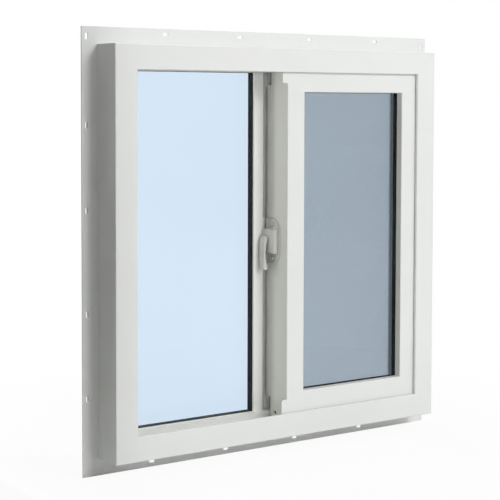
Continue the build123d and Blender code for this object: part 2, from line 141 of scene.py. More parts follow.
class Shader:
    """The node tree of a material or of the world."""

    def __init__(self, tree: bpy.types.NodeTree) -> None:
        """Start from an empty tree."""
        self.tree = tree
        self.tree.nodes.clear()

    def node(
        self,
        kind: str,
        settings: dict[str, Any] | None = None,
        inputs: dict[str | int, Any] | None = None,
    ) -> bpy.types.Node:
        """Add one node.

        Args:
            kind: Blender's name of the node's type.
            settings: what is set on the node itself, first.
            inputs: values, numbers or sockets, by the name or place of the node's input.

        Returns:
            The node.
        """
        made = self.tree.nodes.new(kind)
        for key, value in (settings or {}).items():
            setattr(made, key, value)
        for key, value in (inputs or {}).items():
            if isinstance(value, Number):
                value = value.socket
            if isinstance(value, bpy.types.NodeSocket):
                self.tree.links.new(value, made.inputs[key])
            else:
                made.inputs[key].default_value = value
        return made

    def math(self, operation: str, *values: "Number | float") -> Number:
        """Work out one operation on numbers with a Math node."""
        made = self.node("ShaderNodeMath", {"operation": operation}, dict(enumerate(values)))
        return Number(self, made.outputs[0])

    def place(self) -> bpy.types.NodeSocket:
        """Position on the piece in the CAD's frame."""
        return self.node("ShaderNodeTexCoord").outputs["Object"]

    def scaled(self, place: bpy.types.NodeSocket, scale: Point) -> bpy.types.NodeSocket:
        """A position stretched along its axes."""
        return self.node("ShaderNodeMapping", None, {"Vector": place, "Scale": scale}).outputs[0]

    def axes(self, place: bpy.types.NodeSocket) -> tuple[Number, Number, Number]:
        """The three numbers of a position."""
        split = self.node("ShaderNodeSeparateXYZ", None, {"Vector": place})
        return tuple(Number(self, socket) for socket in split.outputs)

    def noise(self, place: bpy.types.NodeSocket, scale: float, detail: float = 2.0) -> Number:
        """Soft noise from 0 to 1, with this many features to the metre."""
        inputs = {"Vector": place, "Scale": scale, "Detail": detail}
        return Number(self, self.node("ShaderNodeTexNoise", None, inputs).outputs[0])

    def blend(self, share: "Number | float", first: Any, second: Any) -> bpy.types.NodeSocket:
        """Mix two colours, each a colour or a socket, by the share of the second."""
        colours = [(*c, 1.0) if isinstance(c, tuple) else c for c in (first, second)]
        inputs = {0: share, 6: colours[0], 7: colours[1]}
        return self.node("ShaderNodeMix", {"data_type": "RGBA"}, inputs).outputs[2]

    def relief(self, height: Number, depth: float) -> bpy.types.NodeSocket:
        """Surface normal of a relief whose full height is this many metres."""
        inputs = {"Height": height, "Distance": depth, "Strength": 1.0}
        return self.node("ShaderNodeBump", None, inputs).outputs[0]

    def principled(self, inputs: dict[str, Any]) -> bpy.types.NodeSocket:
        """A Principled surface with these inputs."""
        return self.node("ShaderNodeBsdfPrincipled", None, inputs).outputs[0]

    def either(self, share: "Number | float", first: Any, second: Any) -> bpy.types.NodeSocket:
        """Mix two shaders by the share of the second."""
        return self.node("ShaderNodeMixShader", None, {0: share, 1: first, 2: second}).outputs[0]

    def show(self, surface: bpy.types.NodeSocket) -> None:
        """Join a surface to the material's output."""
        self.node("ShaderNodeOutputMaterial", None, {"Surface": surface})


@dataclass(frozen=True)
class Finish(ABC):
    """One material of the window."""

    name: str

    @abstractmethod
    def paint(self, shader: Shader) -> None:
        """Build the finish in an empty node tree."""


@lru_cache(maxsize=None)
def material_of(finish: Finish) -> bpy.types.Material:
    """The Blender material of a finish, made once.

    Args:
        finish: the finish to build.

    Returns:
        Its material.
    """
    material = bpy.data.materials.new(finish.name)
    material.use_nodes = True
    finish.paint(Shader(material.node_tree))
    return material


@dataclass(frozen=True)
class Vinyl(Finish):
    """Extruded white vinyl: satin, with faint die lines along the bar and a fine orange peel."""

    run: Run = Run.ACROSS
    colour: Colour = (0.800, 0.812, 0.795)
    shade: Colour = (0.768, 0.780, 0.760)
    roughness: float = 0.34
    weld_centre: Point | None = None
    weld_edges: tuple[float, float] = (0.0004, 0.0013)
    line_scale: float = 900.0
    peel_scale: float = 320.0
    cloud_scale: float = 9.0
    depth: float = 0.00003

    def paint(self, shader: Shader) -> None:
        """Colour clouds, die lines, orange peel and, on the frame, its faint welded mitres."""
        place = shader.place()
        lines = shader.noise(shader.scaled(place, self.run.value), self.line_scale)
        peel = shader.noise(place, self.peel_scale)
        cloud = shader.noise(place, self.cloud_scale, detail=3.0)
        height = lines * 0.5 + peel * 0.5
        tone = cloud * 0.8 + lines * 0.2
        if self.weld_centre:
            x, _, z = shader.axes(place)
            off = abs(abs(x - self.weld_centre[0]) - abs(z - self.weld_centre[2]))
            weld = 1 - off.rise(*self.weld_edges)
            height = height - weld * 0.9
            tone = tone + weld * 0.35
        shader.show(
            shader.principled(
                {
                    "Base Color": shader.blend(tone.rise(0.25, 0.85), self.colour, self.shade),
                    "Roughness": cloud * 0.12 + peel * 0.05 + (self.roughness - 0.08),
                    "Normal": shader.relief(height, self.depth),
                }
            )
        )


@dataclass(frozen=True)
class ClearGlass(Finish):
    """Float glass with a faint cool cast and a trace of dust. Lamps shine through it.

    Its mirror image is weaker than real glass gives, so that the dark spacer behind it stays dark.
    """

    tint: Colour = (0.810, 0.889, 0.964)
    pale: Colour = (0.828, 0.899, 0.968)
    film: Colour = (0.93, 0.93, 0.90)
    mirror: Colour = (0.25, 0.25, 0.25)
    cloud_scale: float = 4.0
    dust_scale: float = 700.0
    dust_edges: tuple[float, float] = (0.62, 0.80)

    def paint(self, shader: Shader) -> None:
        """Smooth glass for sight, and a clear film for rays from lamps."""
        place = shader.place()
        cloud = shader.noise(place, self.cloud_scale)
        dust = shader.noise(place, self.dust_scale, detail=1.0).rise(*self.dust_edges)
        glass = shader.principled(
            {
                "Base Color": shader.blend(cloud, self.tint, self.pale),
                "Roughness": dust * 0.02,
                "IOR": 1.5,
                "Specular Tint": (*self.mirror, 1.0),
                "Transmission Weight": 1.0,
            }
        )
        clear = {"Color": (*self.film, 1.0)}
        film = shader.node("ShaderNodeBsdfTransparent", None, clear).outputs[0]
        path = shader.node("ShaderNodeLightPath")
        lamps = Number(shader, path.outputs["Is Shadow Ray"])
        soft = Number(shader, path.outputs["Is Diffuse Ray"])
        shader.show(shader.either(lamps.most(soft), glass, film))


@dataclass(frozen=True)
class Foam(Finish):
    """Dark foam of the spacer between two panes, with fine open cells."""

    colour: Colour = (0.004, 0.0045, 0.006)
    cell: Colour = (0.013, 0.014, 0.016)
    shine: float = 0.12
    cell_scale: float = 1500.0
    depth: float = 0.0001

    def paint(self, shader: Shader) -> None:
        """Cells as a fine noise in colour, roughness and relief."""
        place = shader.place()
        cells = shader.noise(place, self.cell_scale, detail=3.0)
        shader.show(
            shader.principled(
                {
                    "Base Color": shader.blend(cells.rise(0.35, 0.75), self.colour, self.cell),
                    "Roughness": cells * 0.15 + 0.6,
                    "Specular IOR Level": self.shine,
                    "Normal": shader.relief(cells, self.depth),
                }
            )
        )


@dataclass(frozen=True)
class Moulded(Finish):
    """Moulded plastic or rubber with a fine spark-eroded grain."""

    # The default grey is the latch's. It is darker than the white vinyl, as painted shade on the
    # latch's sides.
    colour: Colour = (0.63, 0.63, 0.615)
    worn: Colour = (0.67, 0.67, 0.655)
    roughness: float = 0.26
    grain: float = 1100.0
    depth: float = 0.00003
    cloud_scale: float = 45.0

    def paint(self, shader: Shader) -> None:
        """Grain as noise in the relief, and slow clouds of colour and gloss."""
        place = shader.place()
        grain = shader.noise(place, self.grain, detail=3.0)
        cloud = shader.noise(place, self.cloud_scale)
        shader.show(
            shader.principled(
                {
                    "Base Color": shader.blend(cloud.rise(0.3, 0.7), self.colour, self.worn),
                    "Roughness": cloud * 0.10 + grain * 0.06 + (self.roughness - 0.08),
                    "Normal": shader.relief(grain, self.depth),
                }
            )
        )


@dataclass(frozen=True)
class BareMetal(Finish):
    """Drawn or turned metal with fine lines along one axis."""

    run: Run = Run.ACROSS
    colour: Colour = (0.72, 0.73, 0.74)
    dull: Colour = (0.60, 0.61, 0.62)
    roughness: float = 0.32
    line_scale: float = 2200.0
    cloud_scale: float = 60.0
    depth: float = 0.00002

    def paint(self, shader: Shader) -> None:
        """Lines as stretched noise in colour, roughness and relief."""
        place = shader.place()
        lines = shader.noise(shader.scaled(place, self.run.value), self.line_scale, detail=3.0)
        cloud = shader.noise(place, self.cloud_scale)
        shader.show(
            shader.principled(
                {
                    "Base Color": shader.blend(lines * 0.6 + cloud * 0.4, self.colour, self.dull),
                    "Metallic": 1.0,
                    "Roughness": lines * 0.15 + (self.roughness - 0.06),
                    "Normal": shader.relief(lines, self.depth),
                }
            )
        )


@dataclass(frozen=True)
class Fibre(Finish):
    """Matt fibre of pile or of coated screen yarn, uneven along its length."""

    colour: Colour = (0.60, 0.60, 0.55)
    tip: Colour = (0.72, 0.72, 0.66)
    sheen: float = 0.3
    streak_scale: float = 600.0
    depth: float = 0.0001

    def paint(self, shader: Shader) -> None:
        """Short streaks of two tones, with a soft sheen."""
        place = shader.place()
        streaks = shader.noise(place, self.streak_scale)
        shader.show(
            shader.principled(
                {
                    "Base Color": shader.blend(streaks.rise(0.3, 0.7), self.colour, self.tip),
                    "Roughness": streaks * 0.15 + 0.65,
                    "Sheen Weight": self.sheen,
                    "Normal": shader.relief(streaks, self.depth),
                }
            )
        )


def frame_middle() -> Point:
    """Middle of the welded frame in X and Z, in metres: its mitres point at it."""
    (left, _, _), (right, _, _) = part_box("frame_head")
    (_, _, bottom), (_, _, top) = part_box("frame_left_jamb")
    return (left + right) / 2, 0.0, (bottom + top) / 2


FRAME_MIDDLE = frame_middle()
FRAME_ACROSS = Vinyl("frame_vinyl_across", Run.ACROSS, weld_centre=FRAME_MIDDLE)
FRAME_UP = Vinyl("frame_vinyl_up", Run.UP, weld_centre=FRAME_MIDDLE)
BAR_ACROSS = Vinyl("bar_vinyl_across", Run.ACROSS)
BAR_UP = Vinyl("bar_vinyl_up", Run.UP)
# The mullion's vinyl is painted brighter than the frame's, as painted light on the face that the
# sash shades.
MULLION_LIT_UP = Vinyl("mullion_vinyl_painted_lit", Run.UP, (0.880, 0.885, 0.865), (0.850, 0.855, 0.835))
BEAD_ACROSS = Vinyl("bead_vinyl_across", Run.ACROSS, roughness=0.42)
BEAD_UP = Vinyl("bead_vinyl_up", Run.UP, roughness=0.42)
GLASS = ClearGlass("clear_glass")
SPACER = Foam("spacer_foam")
# Latch plastic is painted a darker grey than the vinyl, as painted shade that darkens its sides.
LATCH_SHADED_PLASTIC = Moulded("latch_plastic")
ROLLER_NYLON = Moulded("roller_nylon", (0.55, 0.54, 0.50), (0.62, 0.61, 0.57), 0.38)
BUMPER_RUBBER = Moulded(
    "bumper_rubber", (0.030, 0.031, 0.032), (0.05, 0.05, 0.05), 0.62, grain=700.0, depth=0.0001
)
SPLINE_RUBBER = Moulded(
    "spline_rubber", (0.035, 0.036, 0.038), (0.06, 0.06, 0.062), 0.6, grain=900.0, depth=0.00006
)
SCREEN_PAINT = Moulded(
    "screen_paint", (0.40, 0.43, 0.45), (0.44, 0.47, 0.49), 0.36, grain=500.0, depth=0.00002
)
TRACK_METAL = BareMetal("track_metal")
SCREW_METAL = BareMetal("screw_metal", Run.UP, (0.62, 0.62, 0.62), (0.46, 0.46, 0.46), 0.3)
DARK_METAL = BareMetal("dark_metal", Run.UP, (0.05, 0.05, 0.05), (0.02, 0.02, 0.02), 0.45)
PILE = Fibre("seal_pile")
YARN = Fibre("screen_yarn", (0.055, 0.058, 0.055), (0.09, 0.094, 0.09), 0.1)


# Surfaces


@dataclass
class Block:
    """The box of a CAD node, in millimetres."""

    low: np.ndarray
    high: np.ndarray

    @classmethod
    def of(cls, node: str) -> "Block":
        """The box of this node."""
        low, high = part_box(node)
        return cls(np.array(low) / MM, np.array(high) / MM)

    @property
    def middle(self) -> np.ndarray:
        """Its centre."""
        return (self.low + self.high) / 2


@dataclass
class Shell:
    """Closed tubes gathered into one mesh, in millimetres."""

    points: list[np.ndarray] = field(default_factory=list)
    faces: list[list[int]] = field(default_factory=list)
    count: int = 0

    def add(self, tubes: np.ndarray, looped: bool = False) -> None:
        """Add tubes, each a grid of rings whose points run once round it.

        Each quad joins two neighbouring points of a ring with the same two of the next ring. The
        first and last rings are closed by flat caps, or joined where the tube is a loop.

        Args:
            tubes: points by tube, ring, place round the ring and axis.
            looped: whether the last ring joins the first.
        """
        number, rings, around = tubes.shape[:3]
        tube = np.arange(number)[:, None, None] * rings * around + self.count
        ring = np.arange(rings if looped else rings - 1)[None, :, None]
        step = np.arange(around)[None, None, :]
        after, beside = (ring + 1) % rings, (step + 1) % around
        places = ((ring, step), (ring, beside), (after, beside), (after, step))
        corners = [tube + a * around + b for a, b in places]
        self.faces += np.stack(corners, -1).reshape(-1, 4).tolist()
        if not looped:
            first = np.arange(around)[None, :] + tube[:, 0]
            self.faces += first[:, ::-1].tolist()
            self.faces += (first + (rings - 1) * around).tolist()
        self.points.append(tubes.reshape(-1, 3))
        self.count += number * rings * around

    def make(
        self,
        name: str,
        finish: Finish,
        stands_for: Sequence[str] = (),
        crease: float = 35.0,
    ) -> bpy.types.Object:
        """Turn the tubes into a finished piece of the window.

        Args:
            name: the piece's name.
            finish: its finish.
            stands_for: the CAD nodes it replaces.
            crease: edges that turn by more degrees than this stay sharp.

        Returns:
            The piece.
        """
        mesh = bpy.data.meshes.new(name)
        mesh.from_pydata(np.concatenate(self.points) * MM, [], self.faces)
        work = bmesh.new()
        work.from_mesh(mesh)
        bmesh.ops.recalc_face_normals(work, faces=work.faces)
        work.to_mesh(mesh)
        work.free()
        mesh.shade_smooth()
        mesh.set_sharp_from_angle(angle=math.radians(crease))
        mesh.materials.append(material_of(finish))
        piece = bpy.data.objects.new(name, mesh)
        bpy.context.scene.collection.objects.link(piece)
        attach(piece, "root")
        if stands_for:
            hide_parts(*stands_for)
        LOG.info("%s: %d faces, %s", name, len(mesh.polygons), finish.name)
        return piece


def dress(finish: Finish, *nodes: str) -> None:
    """Give CAD nodes their finish.

    Args:
        finish: the finish.
        nodes: names of the nodes.
    """
    for node in nodes:
        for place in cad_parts[node].material_slots:
            place.material = material_of(finish)
        LOG.info("%s: CAD node, %s", node, finish.name)


def turn_in(steps: int) -> np.ndarray:
    """Angles of a full turn in this many equal steps."""
    return np.arange(steps) * 2 * math.pi / steps


def rounded_outline(
    low: Sequence[float],
    high: Sequence[float],
    radii: Sequence[float],
    steps: int = 10,
) -> np.ndarray:
    """Outline of a rectangle with rounded corners.

    Each corner is an arc about a centre one radius inside it: centre + radius (cos a, sin a),
    where the angle a goes through a quarter turn from one side's normal to the next one's.

    Args:
        low: lowest corner.
        high: highest corner.
        radii: radius of the corners low-low, high-low, high-high and low-high.
        steps: points on each arc.

    Returns:
        Points by place and axis, against the clock.
    """
    arcs = []
    for turn, radius in enumerate(radii):
        angle = math.pi + (turn + np.linspace(0, 1, steps)) * math.pi / 2
        centre = (
            high[0] - radius if turn in (1, 2) else low[0] + radius,
            high[1] - radius if turn in (2, 3) else low[1] + radius,
        )
        arc = [centre[0] + radius * np.cos(angle), centre[1] + radius * np.sin(angle)]
        arcs.append(np.stack(arc, -1))
    return np.concatenate(arcs)


def smooth_line(knots: np.ndarray, count: int) -> np.ndarray:
    """A smooth line through knots, each of any number of values.

    Between two knots it is the Catmull-Rom cubic, whose slope at a knot is half the step from the
    knot before to the knot after.

    Args:
        knots: values by knot.
        count: number of points wanted.

    Returns:
        Values by point.
    """
    padded = np.concatenate([2 * knots[:1] - knots[1:2], knots, 2 * knots[-1:] - knots[-2:-1]])
    where = np.linspace(0, len(knots) - 1, count)
    start = np.minimum(where.astype(int), len(knots) - 2)
    t = (where - start)[:, None]
    a, b, c, d = (padded[start + i] for i in range(4))
    bend = 2 * a - 5 * b + 4 * c - d
    twist = 3 * b - a - 3 * c + d
    return 0.5 * (2 * b + (c - a) * t + bend * t**2 + twist * t**3)


# Sub-assemblies


@dataclass
class OuterFrame:
    """The welded frame and its nailing fin, with the strip that the sash runs on."""

    sides: dict[str, Finish] = field(
        default_factory=lambda: {
            "frame_head": FRAME_ACROSS,
            "frame_sill": FRAME_ACROSS,
            "frame_left_jamb": FRAME_UP,
            "frame_right_jamb": FRAME_UP,
            "nail_fin_top": FRAME_ACROSS,
            "nail_fin_bottom": FRAME_ACROSS,
            "nail_fin_left": FRAME_UP,
            "nail_fin_right": FRAME_UP,
        }
    )
    bumper_height: float = 40.0
    bumper_rounding: float = 5.5
    bumper_least_rounding: float = 0.5
    bumper_profile: Profile = (
        (0.0, 0.0),
        (0.0, 0.22),
        (1.3, 0.30),
        (1.3, 0.42),
        (0.2, 0.50),
        (0.2, 0.66),
        (1.0, 0.82),
        (2.6, 0.94),
        (5.0, 1.0),
    )

    def build(self) -> None:
        """Dress the vinyl and the track, and add the bumpers."""
        for node, finish in self.sides.items():
            dress(finish, node)
        dress(TRACK_METAL, "sill_track")
        self.bumpers()

    def bumpers(self) -> None:
        """Ribbed rubber bumpers in the right jamb.

        Each is a stack of rounded outlines in Y and Z, from the channel's floor towards the sash.
        The profile says how far each is drawn in, and its share of the bumper's reach. It draws in
        once between the two ribs, and at the end to make a dome.
        """
        box = Block.of("jamb_bumpers")
        reach = box.high[0] - box.low[0]
        shell = Shell()
        for low in (box.low[2], box.high[2] - self.bumper_height):
            rings = []
            for inset, share in self.bumper_profile:
                radius = max(self.bumper_rounding - inset, self.bumper_least_rounding)
                outline = rounded_outline(
                    (box.low[1] + inset, low + inset),
                    (box.high[1] - inset, low + self.bumper_height - inset),
                    [radius] * 4,
                )
                rings.append(np.insert(outline, 0, box.high[0] - share * reach, axis=1))
            shell.add(np.array([rings]))
        shell.make("jamb_bumper_ribs", BUMPER_RUBBER, ["jamb_bumpers"])


@dataclass
class FixedLight:
    """The fixed double glazing, its beads and the meeting mullion."""

    def build(self) -> None:
        """Dress the nodes of the fixed side."""
        dress(GLASS, "fixed_glass_inner", "fixed_glass_outer")
        dress(SPACER, "fixed_glass_spacer")
        dress(BEAD_ACROSS, "fixed_bead_top", "fixed_bead_bottom")
        dress(BEAD_UP, "fixed_bead_left", "fixed_bead_right")
        # The mullion gets the brighter vinyl: painted light on its shaded face.
        dress(MULLION_LIT_UP, "meeting_mullion")


@dataclass
class SlidingSash:
    """The sliding sash with its glass, beads, rollers and adjusting screw.

    The adjuster's place is its distance from the low corner of the lock stile's box.
    """

    adjuster: Point = (9.5, 30.0, 7.5)
    adjuster_radius: float = 2.4
    adjuster_around: int = 24
    adjuster_profile: Profile = (
        (0.05, 2.0),
        (0.5, 1.8),
        (0.6, 0.8),
        (0.92, 0.8),
        (1.0, 1.0),
        (1.0, 5.6),
    )

    def build(self) -> None:
        """Dress the nodes of the sash."""
        dress(BAR_ACROSS, "sash_top_rail", "sash_bottom_rail")
        dress(BAR_UP, "sash_lock_stile", "sash_right_stile")
        dress(GLASS, "sash_glass_inner", "sash_glass_outer")
        dress(SPACER, "sash_glass_spacer")
        dress(BEAD_ACROSS, "sash_bead_top", "sash_bead_bottom")
        dress(BEAD_UP, "sash_bead_left", "sash_bead_right")
        dress(ROLLER_NYLON, "roller_wheels")
        dress(TRACK_METAL, "roller_housings")
        self.adjuster_screw()

    def adjuster_screw(self) -> None:
        """Dark screw in the hole of the lock stile, by which a roller is raised.

        Each ring is a circle in Y and Z, with its share of the radius and its depth in the hole.
        The first two sink the head's middle to a small socket.
        """
        x, y, z = Block.of("sash_lock_stile").low + self.adjuster
        angle = turn_in(self.adjuster_around)
        rings = []
        for share, depth in self.adjuster_profile:
            out, up = (share * self.adjuster_radius * way(angle) for way in (np.cos, np.sin))
            rings.append(np.stack([np.full_like(angle, x + depth), y + out, z + up], -1))
        shell = Shell()
        shell.add(np.array([rings]))
        shell.make("sash_adjuster_screw", DARK_METAL)


@dataclass
class PileSeals:
    """Weather seals of woven pile: a backing strip with rows of short fibres."""

    pitch: float = 1.0
    row_pitch: float = 1.1
    backing: float = 0.5
    root: float = 0.32
    tip: float = 0.12
    lean: float = 0.35
    sunk: float = 0.01
    strip_width: float = 6.0
    strip_rounding: float = 0.3
    corner_gap: float = 2.0
    random: np.random.Generator = field(default_factory=lambda: np.random.default_rng(7))

    def build(self) -> None:
        """Pile behind the sash on three sides, and in the step of the mullion."""
        box = Block.of("sash_seals")
        (x0, y0, z0), (x1, y1, z1) = box.low, box.high
        width, gap = self.strip_width, self.corner_gap
        around = Shell()
        self.strip(around, (x0, y0, z1 - width), (x1 - width - gap, y1, z1))
        self.strip(around, (x0, y0, z0), (x1 - width - gap, y1, z0 + width))
        self.strip(around, (x1 - width, y0, z0 + width + gap), (x1, y1, z1 - width - gap))
        around.make("sash_pile", PILE, ["sash_seals"])
        box, plate = Block.of("meeting_seal"), Block.of("latch_base")
        middle = Shell()
        for low, high in ((box.low[2], plate.low[2]), (plate.high[2], box.high[2])):
            self.strip(middle, (box.low[0], box.low[1], low), (box.high[0], box.high[1], high))
        middle.make("meeting_pile", PILE, ["meeting_seal"])

    def strip(self, shell: Shell, low: Sequence[float], high: Sequence[float]) -> None:
        """One strip of pile whose backing lies on its outdoor side.

        The backing is a flat bar. Each fibre is a thin three-sided tube from the backing to the
        strip's indoor side, and its tip is moved sideways by a seeded random step. The rows run
        along the strip, row_pitch apart, and a row has a fibre at each pitch.

        Args:
            shell: the mesh to add to.
            low: lowest corner of the strip.
            high: highest corner.
        """
        low, high = np.array(low, float), np.array(high, float)
        radii = [self.strip_rounding] * 4
        flat = rounded_outline((low[0], low[2]), (high[0], high[2]), radii, 4)
        rings = [np.insert(flat, 1, depth, axis=1) for depth in (high[1] - self.backing, high[1])]
        shell.add(np.array([rings]))
        edge = self.root + self.lean
        upright = high[0] - low[0] < high[2] - low[2]
        pitches = (self.row_pitch, self.pitch) if upright else (self.pitch, self.row_pitch)
        rows = []
        for axis, pitch in zip((0, 2), pitches):
            count = max(int((high[axis] - low[axis] - 2 * edge) / pitch), 1)
            rows.append(np.linspace(low[axis] + edge, high[axis] - edge, count))
        x, z = (places.ravel() for places in np.meshgrid(*rows))
        sway_x, sway_z = self.random.uniform(-self.lean, self.lean, (2, x.size))
        roots = np.stack([x, np.full_like(x, high[1] - self.backing - self.sunk), z], -1)
        tips = np.stack([x + sway_x, np.full_like(x, low[1]), z + sway_z], -1)
        angle = turn_in(3)
        circle = np.stack([np.cos(angle), np.zeros(3), np.sin(angle)], -1)
        sizes = ((roots, self.root), (tips, self.tip))
        ends = [centre[:, None] + circle[None] * size for centre, size in sizes]
        shell.add(np.stack(ends, 1))


@dataclass
class InsectScreen:
    """The insect screen: painted bars, woven yarn and the rubber cord that holds it."""

    yarn: float = 0.425
    yarn_pitch: float = 1.41
    cord: float = 2.9
    cord_rib: float = 0.1
    cord_ribs: int = 9
    cord_around: int = 54
    corner_radius: float = 2.5

    def build(self) -> None:
        """Dress the bars and make the weave and the cord."""
        sides = ("top", "bottom", "left", "right")
        dress(SCREEN_PAINT, *(f"screen_frame_{side}" for side in sides))
        self.weave()
        self.spline()

    def weave(self) -> None:
        """Crossed yarns over the screen's opening.

        Each yarn is a straight six-sided tube. Those that run up lie on the indoor side of those
        that run across, and are fused to them a little where they cross.
        """
        box = Block.of("screen_mesh")
        radius = self.yarn / 2
        angle = turn_in(6)
        shell = Shell()
        for run, other in ((2, 0), (0, 2)):
            number = int((box.high[other] - box.low[other]) / self.yarn_pitch)
            places = np.linspace(box.low[other] + radius, box.high[other] - radius, number)
            depth = box.low[1] + radius if run == 2 else box.high[1] - radius
            tubes = np.zeros((number, 2, angle.size, 3))
            tubes[..., other] = places[:, None, None] + radius * np.cos(angle)
            tubes[..., 1] = depth + radius * np.sin(angle)
            tubes[..., run] = np.array([box.low[run], box.high[run]])[None, :, None]
            shell.add(tubes)
        shell.make("screen_weave", YARN, ["screen_mesh"])

    def spline(self) -> None:
        """Ribbed rubber cord pressed into the groove of the bars.

        The cord follows a rectangle with rounded corners. Round it, its radius swells and shrinks
        as a cosine of the angle to make the ribs that grip the groove.
        """
        box = Block.of("screen_spline")
        inset = self.cord / 2 + (box.high[1] - box.low[1] - self.cord) / 2
        low, high = box.low + inset, box.high - inset
        radii = [self.corner_radius] * 4
        path = rounded_outline((low[0], low[2]), (high[0], high[2]), radii, 8)
        ahead = np.roll(path, -1, 0) - np.roll(path, 1, 0)
        ahead /= np.linalg.norm(ahead, axis=1)[:, None]
        angle = turn_in(self.cord_around)
        size = self.cord / 2 - self.cord_rib * (1 - np.cos(self.cord_ribs * angle)) / 2
        out = size * np.cos(angle)
        x = path[:, 0, None] + ahead[:, 1, None] * out
        z = path[:, 1, None] - ahead[:, 0, None] * out
        y = np.broadcast_to(box.middle[1] + size * np.sin(angle), x.shape)
        shell = Shell()
        shell.add(np.stack([x, y, z], -1)[None], looped=True)
        shell.make("screen_spline_cord", SPLINE_RUBBER, ["screen_spline"])


